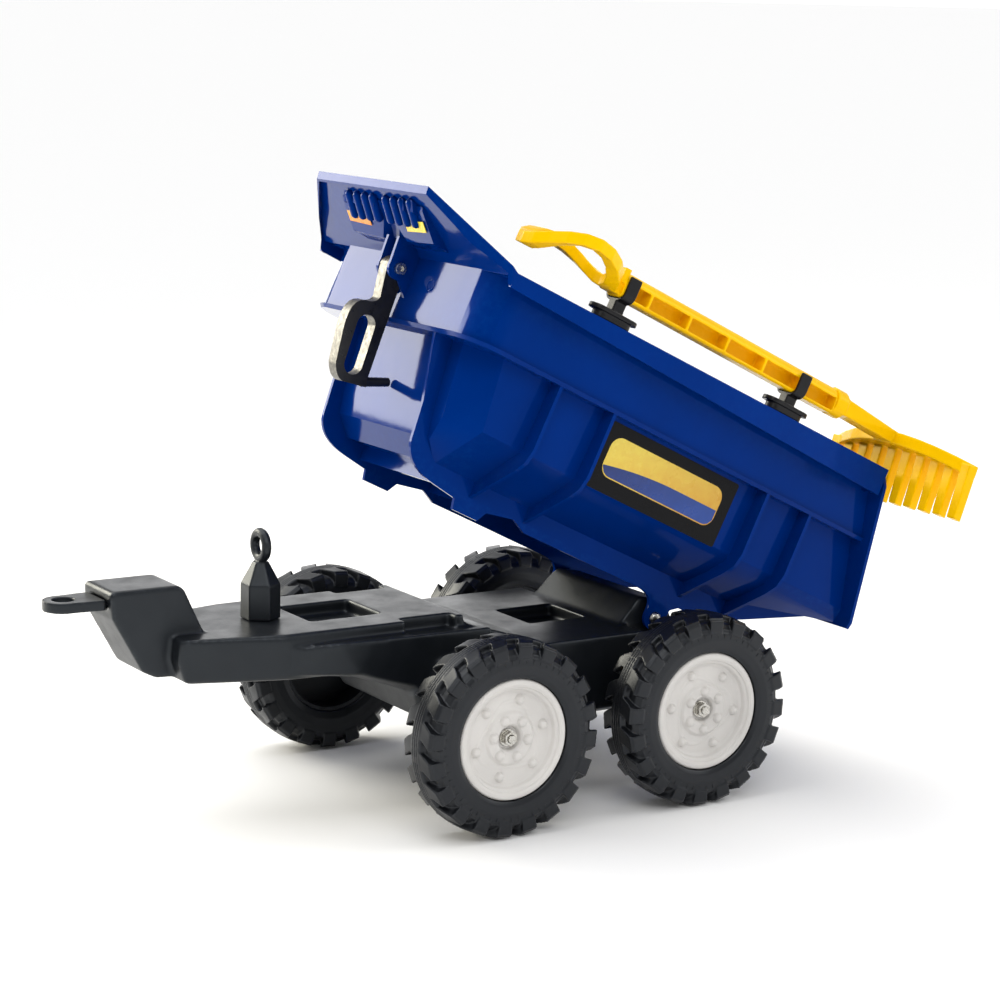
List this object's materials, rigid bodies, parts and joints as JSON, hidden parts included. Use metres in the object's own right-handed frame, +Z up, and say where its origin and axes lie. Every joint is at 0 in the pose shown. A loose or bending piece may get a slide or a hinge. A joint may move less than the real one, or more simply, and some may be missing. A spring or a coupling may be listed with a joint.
{
  "type": "toy tipping trailer",
  "caption": "Tipping trailer of a ride-on toy tractor: ribbed tub hinged on a two-axle chassis with a drawbar eye, a latch handle and a clipped-on rake.",
  "frame": {"origin": "on the ground, under the middle of the whole model's bounding box at rest", "axes": "+X forward to the drawbar eye, +Y to the left, +Z up"},
  "size_m": [0.9124, 0.5024, 0.6328],
  "materials": {
    "black_plastic": "blow-moulded, satin",
    "tyre_plastic": "blow-moulded, satin",
    "blue_plastic": "injection-moulded, glossy",
    "white_plastic": "injection-moulded, semi-gloss",
    "yellow_plastic": "injection-moulded, semi-gloss",
    "zinc_steel": "zinc plated",
    "label_film": "printed film",
    "yellow_film": "printed film",
    "amber_film": "printed film"
  },
  "bodies": {
    "chassis": {"chassis": "black_plastic", "drawbar_tongue": "black_plastic", "latch_post": "black_plastic", "hinge_rod": "zinc_steel", "front_axle": "zinc_steel", "rear_axle": "zinc_steel", "hinge_cap_left": "zinc_steel", "hinge_cap_right": "zinc_steel", "axle_spacer_front_left": "black_plastic", "axle_spacer_front_right": "black_plastic", "axle_spacer_rear_left": "black_plastic", "axle_spacer_rear_right": "black_plastic", "axle_washer_front_left": "zinc_steel", "axle_washer_front_right": "zinc_steel", "axle_washer_rear_left": "zinc_steel", "axle_washer_rear_right": "zinc_steel", "axle_nut_front_left": "zinc_steel", "axle_nut_front_right": "zinc_steel", "axle_nut_rear_left": "zinc_steel", "axle_nut_rear_right": "zinc_steel"},
    "tub": {"tub": "blue_plastic", "latch_bolt": "zinc_steel", "latch_nut": "zinc_steel", "tool_clip_front": "black_plastic", "tool_clip_rear": "black_plastic", "side_decal_left": "label_film", "side_decal_right": "label_film", "lamp_decal_left": "yellow_film", "lamp_decal_right": "amber_film"},
    "latch_handle": {"latch_handle": "black_plastic"},
    "rake": {"rake_handle": "yellow_plastic", "rake_head": "yellow_plastic"},
    "wheel_front_left": {"tyre_front_left": "tyre_plastic", "hub_front_left": "white_plastic"},
    "wheel_front_right": {"tyre_front_right": "tyre_plastic", "hub_front_right": "white_plastic"},
    "wheel_rear_left": {"tyre_rear_left": "tyre_plastic", "hub_rear_left": "white_plastic"},
    "wheel_rear_right": {"tyre_rear_right": "tyre_plastic", "hub_rear_right": "white_plastic"}
  },
  "joints": [
    {"name": "tub_tip", "type": "hinge", "parent": "chassis", "child": "tub", "pos_m": [-0.19232, -0.04225, 0.1733], "axis": [0, -1, 0], "range_deg": [-22, 19]},
    {"name": "latch_swing", "type": "hinge", "parent": "tub", "child": "latch_handle", "pos_m": [0.07878, -0.04225, 0.54362], "axis": [0, -1, 0], "range_deg": [0, 60]},
    {"name": "rake_lift", "type": "slide", "parent": "tub", "child": "rake", "axis": [-0.4384, 0, 0.8988], "range_m": [0, 0.04]},
    {"name": "wheel_spin_front_left", "type": "hinge", "parent": "chassis", "child": "wheel_front_left", "pos_m": [0.05218, 0.14025, 0.1], "axis": [0, 1, 0], "continuous": true},
    {"name": "wheel_spin_front_right", "type": "hinge", "parent": "chassis", "child": "wheel_front_right", "pos_m": [0.05218, -0.22475, 0.1], "axis": [0, 1, 0], "continuous": true},
    {"name": "wheel_spin_rear_left", "type": "hinge", "parent": "chassis", "child": "wheel_rear_left", "pos_m": [-0.18182, 0.14025, 0.1], "axis": [0, 1, 0], "continuous": true},
    {"name": "wheel_spin_rear_right", "type": "hinge", "parent": "chassis", "child": "wheel_rear_right", "pos_m": [-0.18182, -0.22475, 0.1], "axis": [0, 1, 0], "continuous": true}
  ]
}
